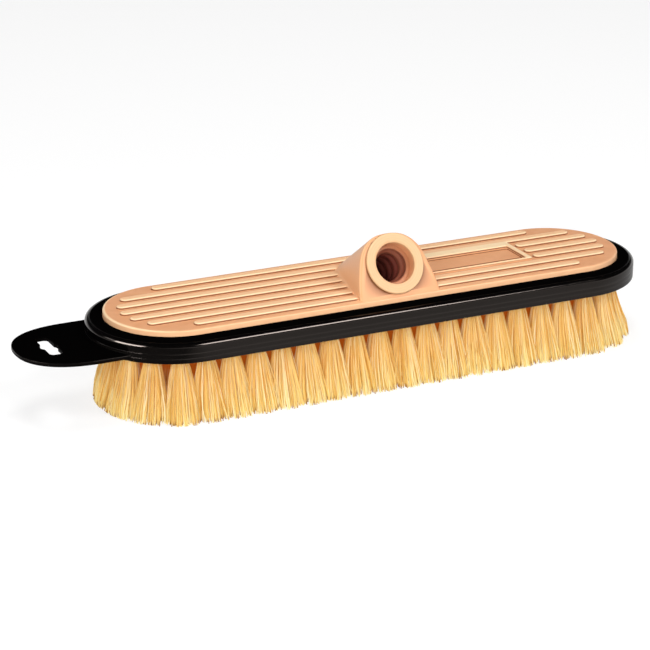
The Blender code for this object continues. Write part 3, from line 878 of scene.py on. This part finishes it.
# Painted shade at the feet of the ribs' walls; on the collar, painted shadow on its side wall.
groove = np.interp(rise, [0.02, 0.1, 0.66, 1.0], [0, 1, 0.9, 0]) * on_rib * on_deck
from_mouth = place - mouth_centre
depth = -from_mouth @ mouth_normal / mm
radius = np.linalg.norm(from_mouth + depth[:, None] * mm * mouth_normal, axis=1) / mm
in_collar = radius < collar_radius / mm + 0.1
on_collar = in_collar & (radius > 17.0) & (depth > 0.9) & (depth < 2.3)
in_bore = (radius < counterbore_radius / mm + 0.1) & (depth < bore_depth / mm + 1)
on_flank = ~on_deck & (depth > 2.4) & ~in_bore & (rise > -1.4)
# Painted light: the wedge's flank, shaded from the key lamp, takes the paler crown paint.
crown = np.clip((rise - 0.6) / 0.3, 0, 1) * on_deck + 0.9 * on_flank
crown = np.maximum(crown, 0.7 * ((from_rim < 0.6) & (rise < -0.3)))
mark(top_block.data, "crown", crown)
mark(top_block.data, "groove", np.maximum(groove, on_collar))
# Less plate paint on the flank is part of the same painted light.
mark(top_block.data, "plate", (~on_deck & (rise > -1.4) & ~on_collar) * np.where(on_flank, 0.35, 1))
face_ring = np.where((depth > 0.04) & (depth < 0.06), 0.6, 1)
mark(top_block.data, "faced", np.clip((1.0 - depth) / 0.3, 0, 1) * in_collar * face_ring)
# Painted shade: the bore's wall turns dark past the counterbore.
mark(top_block.data, "deep", np.interp(depth, [1, 6.8, 7.4, 20], [0, 0.1, 0.85, 1]) * in_bore)
dress(top_block, block_plastic, "block_plastic", "top_block")

# Bumper: one soft black vinyl moulding, a channel stretched round the edges of both halves so that
# its lips clamp them, with the hang tab and its slot at the left end.

bumper_bottom = 38.5 * mm
tab_top, tab_thickness = 42.5 * mm, 2.5 * mm
tab_tip, tab_nose, tab_half_width = -223.1 * mm, 41.2 * mm, 32.5 * mm
tab_squareness = 2.31


def round_corners(corners, radii, steps=5):
    """A closed outline with each corner replaced by an arc of its radius, tangent to both sides. A
    corner stays as it is where its radius is 0 or its sides are nearly in line."""
    nearly_straight = 1.55
    corners = np.asarray(corners, float)
    outline = []
    for place, radius in enumerate(radii):
        here = corners[place]
        to_last = corners[place - 1] - here
        to_next = corners[(place + 1) % len(corners)] - here
        to_last /= np.linalg.norm(to_last)
        to_next /= np.linalg.norm(to_next)
        half = math.acos(np.clip(to_last @ to_next, -1, 1)) / 2
        if radius == 0 or half > nearly_straight:
            outline.append(here)
            continue
        reach = radius / math.tan(half)
        first, last = here + to_last * reach, here + to_next * reach
        middle = here + (to_last + to_next) / np.linalg.norm(to_last + to_next) * (
            radius / math.sin(half)
        )
        for share in np.linspace(0, 1, steps):
            point = first + (last - first) * share - middle
            outline.append(middle + point / np.linalg.norm(point) * radius)
    return np.array(outline)


# The channel's section, in millimetres: inset from the side, height over the bumper's bottom, and
# the radius of the corner. It goes up the grooved side, over the top lip and back down inside.
section_knots = np.array(
    [
        (0, 0, 0.7),
        (0, 2.7, 0.2),
        (0.12, 3.1, 0.2),
        (0, 3.5, 0.2),
        (0, 5.6, 0.2),
        (0.12, 6.0, 0.2),
        (0, 6.4, 0.2),
        (0, 11.1, 2.5),
        (3.2, 11.92, 0),
        (9.8, 13.1, 0.3),
        (9.8, 9.1, 0.2),
        (4.0, 9.1, 0.3),
        (4.0, 1.6, 0.3),
        (10.8, 1.6, 0.2),
        (10.8, 0, 0.4),
    ]
)
section_corners = section_knots[:, :2] * mm + (0, bumper_bottom)
section = round_corners(section_corners, section_knots[:, 2] * mm, 7)
section_loops = [
    level(stadium(spine_half, outer_radius - inset, steps=64), z) for inset, z in section
]
bumper = solid("bumper_moulding", *skin(section_loops, ring=True))

# The tab's nose is half a slightly squared ellipse: tab_squareness is the exponent of its equation.
tab_turn = np.linspace(np.pi / 2, 3 * np.pi / 2, 65)
nose = np.abs(np.column_stack([np.cos(tab_turn), np.sin(tab_turn)])) ** (2 / tab_squareness)
nose_x = tab_tip + tab_nose - tab_nose * nose[:, 0]
nose_y = tab_half_width * nose[:, 1] * np.sign(np.sin(tab_turn))
root_radius = outer_radius - 2.5 * mm
root_turn = math.asin(tab_half_width / root_radius)
root_arc = np.linspace(np.pi + root_turn, np.pi - root_turn, 25)
root_outline = np.column_stack(
    [-spine_half + root_radius * np.cos(root_arc), root_radius * np.sin(root_arc)]
)
tab_outline = np.concatenate([np.column_stack([nose_x, nose_y]), root_outline])
tab_step = np.roll(tab_outline, -1, 0) - np.roll(tab_outline, 1, 0)
tab_inward = np.stack([-tab_step[:, 1], tab_step[:, 0]], 1)
tab_inward /= np.linalg.norm(tab_inward, axis=1, keepdims=True)
tab_round = 0.6 * mm
tab_loops = []
for turn in np.linspace(-np.pi / 2, np.pi / 2, 9):
    middle = tab_top - tab_round if turn > 0 else tab_top - tab_thickness + tab_round
    pull = tab_round * (1 - math.cos(turn))
    tab_loops.append(level(tab_outline + tab_inward * pull, middle + tab_round * math.sin(turn)))
tab = solid("tab", *skin(tab_loops))
slot_place, slot_corner_radius, hole_radius = (-203.0 * mm, 0), 2.6 * mm, 5.5 * mm
slot_corners = np.array([(4.3, -14.1), (4.3, 15.2), (-3.7, 15.2), (-3.7, -14.1)]) * mm
slot_outline = round_corners(slot_corners + slot_place, [slot_corner_radius] * 4)
hole_turns = np.linspace(0, 2 * np.pi, 48, endpoint=False)
hole_circle = np.stack([np.cos(hole_turns), np.sin(hole_turns)], 1)
hole_outline = hole_radius * hole_circle + slot_place
cut_levels = (tab_top - tab_thickness - mm, tab_top + mm)
carve(
    tab,
    "DIFFERENCE",
    solid("slot_cut", *skin([level(slot_outline, z) for z in cut_levels])),
    solid("hole_cut", *skin([level(hole_outline, z) for z in cut_levels])),
)
carve(bumper, "UNION", tab)

# Flexible black vinyl, moulded: deep black with a wet-looking shine on its side and round its
# edges, and a matt grain on the lip and the tab, which stay near black. A very fine scuff softens
# the shine.
bumper_vinyl, tree = new_material("moulded black vinyl")
place = add_node(tree, "TexCoord")
scuff = add_node(
    tree, "TexNoise", {"Vector": (place, "Object"), "Scale": 900.0, "Detail": 3.0, "Roughness": 0.6}
)
shine = add_node(
    tree,
    "MapRange",
    {"Value": (scuff, 0), "From Min": 0.35, "From Max": 0.65, "To Min": 0.1, "To Max": 0.16},
)
matt = add_node(tree, "Attribute", attribute_name="matt")
roughness = add_node(tree, "Mix", {0: (matt, "Fac"), 2: (shine, 0), 3: 0.5})
gloss = add_node(tree, "Mix", {0: (matt, "Fac"), 2: 0.6, 3: 0.0})
black = add_node(
    tree, "Mix", {0: (scuff, 0), 6: paint("#020202"), 7: paint("#050404")}, data_type="RGBA"
)
vinyl_shader = add_node(
    tree,
    "BsdfPrincipled",
    {
        "Base Color": (black, 2),
        "Roughness": (roughness, 0),
        "IOR": 1.5,
        "Specular IOR Level": (gloss, 0),
        "Specular Tint": paint("#FFEDE2"),
    },
)
add_node(tree, "OutputMaterial", {"Surface": (vinyl_shader, 0)})
place = np.array([vertex.co for vertex in bumper.data.vertices]) - (block_x, 0, 0)
to_spine = place - np.column_stack(
    [np.clip(place[:, 0], -spine_half, spine_half), np.zeros(len(place)), place[:, 2]]
)
inset = outer_radius - np.linalg.norm(to_spine, axis=1)
on_lip = (inset > 3.0 * mm) & (place[:, 2] > bumper_bottom + 8.5 * mm)
root = (np.abs(place[:, 2] - tab_top + tab_thickness / 2) < tab_thickness / 2 + 0.1 * mm) & (
    place[:, 0] < -spine_half
)
on_tab = (inset < -0.2 * mm) | (root & (np.abs(place[:, 1]) < tab_half_width + 0.3 * mm))
on_tab_top = on_tab & (place[:, 2] > tab_top - 0.2 * mm)
on_tab_round = on_tab & ~on_tab_top & (place[:, 2] > tab_top - tab_round)
half_matt = on_tab * np.where(on_tab_round, 0.4, 0.8)
mark(bumper.data, "matt", np.maximum(on_lip | on_tab_top, half_matt))
dress(bumper, bumper_vinyl, "bumper_vinyl", "bumper")
shone_on.objects.link(bumper)
